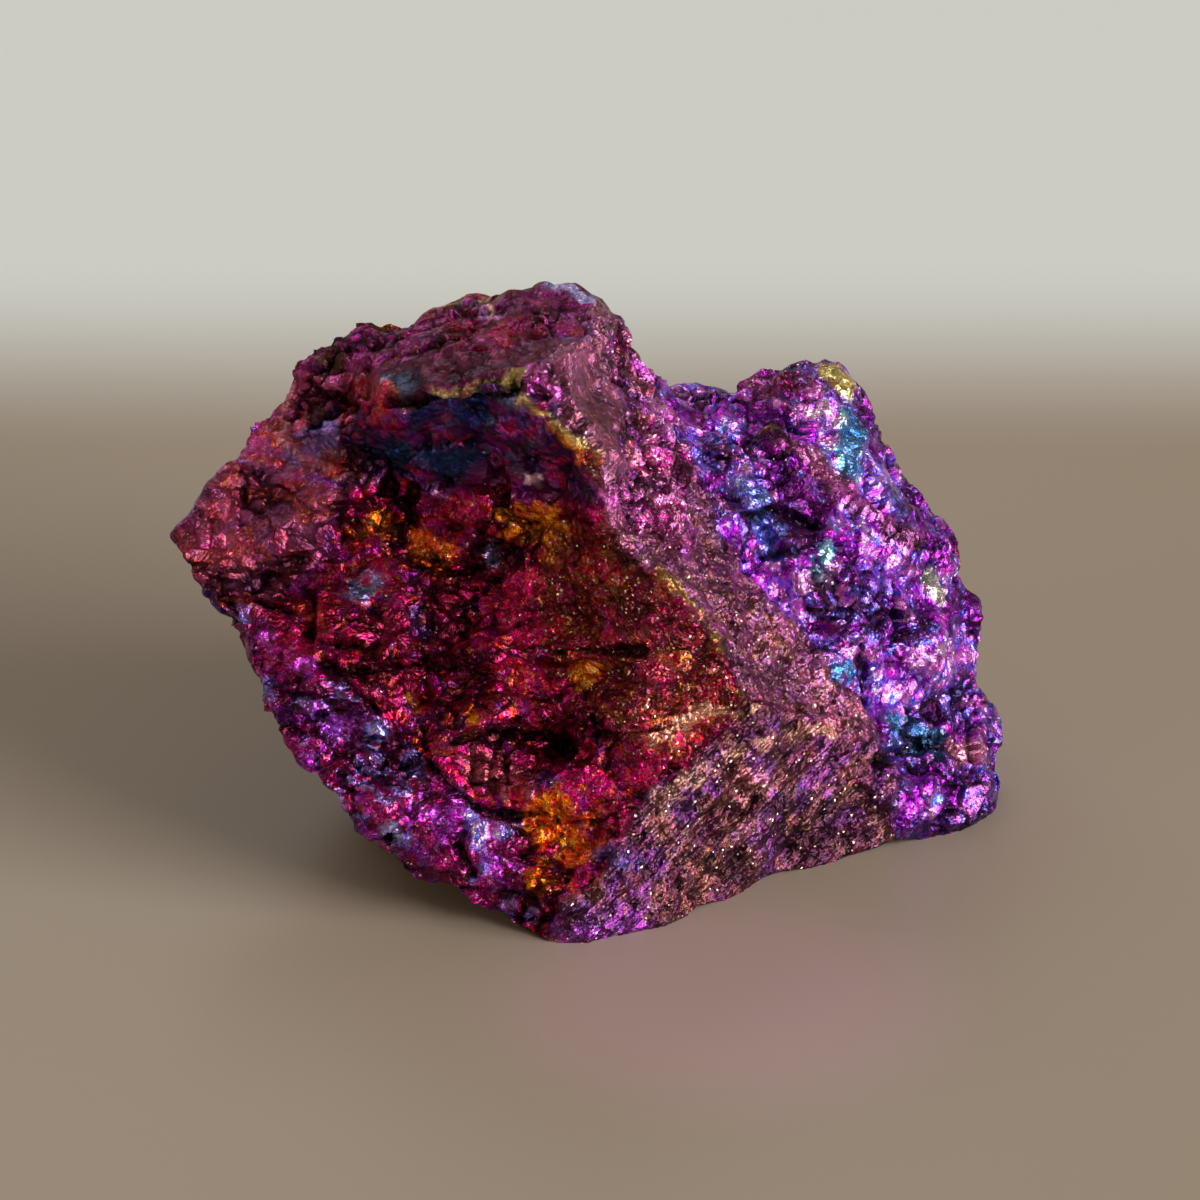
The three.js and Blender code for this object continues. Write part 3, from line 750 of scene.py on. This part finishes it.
ore_finish = bpy.data.materials.new("tarnished_ore")
ore_finish.use_nodes = True
nodes = ore_finish.node_tree.nodes
links = ore_finish.node_tree.links
metal = nodes["Principled BSDF"]
metal.inputs["Metallic"].default_value = 1.0
metal.inputs["Coat Weight"].default_value = 0.16
metal.inputs["Coat Roughness"].default_value = 0.12


def node(kind, *sources, **settings):
    """A new shader node with its settings, whose first inputs come from other nodes or plain values."""
    made = nodes.new("ShaderNode" + kind)
    for name, value in settings.items():
        setattr(made, name, value)
    for socket, source in zip(made.inputs, sources):
        if isinstance(source, bpy.types.NodeSocket):
            links.new(source, socket)
        else:
            socket.default_value = source
    return made.outputs


def calculate(operation, *sources):
    """The result of a sum on numbers."""
    return node("Math", *sources, operation=operation)[0]


def combine(operation, *sources):
    """The result of a sum on directions."""
    return node("VectorMath", *sources, operation=operation)[0]


def faces(size, places):
    """A random colour for each crystal face of this size."""
    cells = nodes.new("ShaderNodeTexVoronoi")
    cells.inputs["Scale"].default_value = 1 / size
    links.new(places, cells.inputs["Vector"])
    return cells.outputs["Color"]


ridge_places = node("Attribute", attribute_name="lay")["Vector"]
crystals = faces(splinter, ridge_places)
crumbs = faces(crumb, node("TexCoord")["Object"])
crystal_chance = node("SeparateColor", crystals)
crumb_chance = node("SeparateColor", crumbs)
film = node("Attribute", attribute_name="tarnish")["Color"]
glint_share = node("Attribute", attribute_name="glints")["Fac"]
dull_share = node("Attribute", attribute_name="dull")["Fac"]

turn_share = node("Attribute", attribute_name="turns")["Fac"]
fine = nodes.new("ShaderNodeTexNoise")
fine.inputs["Scale"].default_value = 1 / ridge
fine.inputs["Detail"].default_value = 3
fine.inputs["Roughness"].default_value = 0.6
links.new(ridge_places, fine.inputs["Vector"])
fine_height = fine.outputs["Fac"]

hue_shift = calculate("MULTIPLY_ADD", fine_height, ridge_hue, 0.5 - ridge_hue / 2)
hue_shift = calculate("SUBTRACT", hue_shift, crystal_hue / 2)
hue_shift = calculate("MULTIPLY_ADD", crystal_chance[0], crystal_hue, hue_shift)
spread = calculate("MULTIPLY_ADD", turn_share, added_contrast, least_contrast)
crystal_tone = calculate("MULTIPLY_ADD", calculate("SUBTRACT", crystal_chance[1], 0.5), spread, 1.0)
fine_tone = calculate("MULTIPLY_ADD", fine_height, ridge_contrast, 1 - ridge_contrast / 2)
brightness = calculate("MULTIPLY", crystal_tone, fine_tone)
paleness = calculate("MULTIPLY", calculate("POWER", crumb_chance[1], paling_power), spread)
richness = calculate("MULTIPLY_ADD", paleness, -paling, richest)
varied = node("HueSaturation", hue_shift, richness, brightness, 1.0, film)[0]
# Painted glints: a few crumbs get a pale colour in place of their tarnish, standing in for crystals that
# catch the window's light.
glint_limit = calculate("MULTIPLY_ADD", glint_share, -glint_part, 1.0)
is_glint = calculate("GREATER_THAN", crumb_chance[2], glint_limit)
pale = nodes.new("ShaderNodeMix")
pale.data_type = "RGBA"
links.new(is_glint, pale.inputs["Factor"])
links.new(varied, pale.inputs["A"])
pale.inputs["B"].default_value = glint_colour
links.new(pale.outputs["Result"], metal.inputs["Base Color"])

bump = nodes.new("ShaderNodeBump")
bump.inputs["Strength"].default_value = 1.0
bump.inputs["Distance"].default_value = ridge_height
links.new(fine_height, bump.inputs["Height"])
turned = combine("SUBTRACT", combine("ADD", crystals, crumbs), (1.0, 1.0, 1.0))
amount = calculate("MULTIPLY", turn_share, crystal_tilt)
amounts = node("CombineXYZ", amount, amount, amount)[0]
face = combine("MULTIPLY_ADD", turned, amounts, bump.outputs["Normal"])
face = combine("NORMALIZE", face)
links.new(face, metal.inputs["Normal"])
links.new(face, metal.inputs["Coat Normal"])
least_rough = calculate("SUBTRACT", dull_share, roughness_spread / 2)
roughness = calculate("MULTIPLY_ADD", crumb_chance[0], roughness_spread, least_rough)
links.new(roughness, metal.inputs["Roughness"])

# The surface was worked finer than the stone needs; flat parts give up most of the extra points.
triangle_limit = 196000
thinned = stone.modifiers.new("thinned", "DECIMATE")
thinned.ratio = triangle_limit / sum(len(face.vertices) - 2 for face in stone.data.polygons)
settle(stone)
stone.data.shade_flat()
stone.data.materials.clear()
stone.data.materials.append(ore_finish)
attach(stone, "root")
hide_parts("ore")
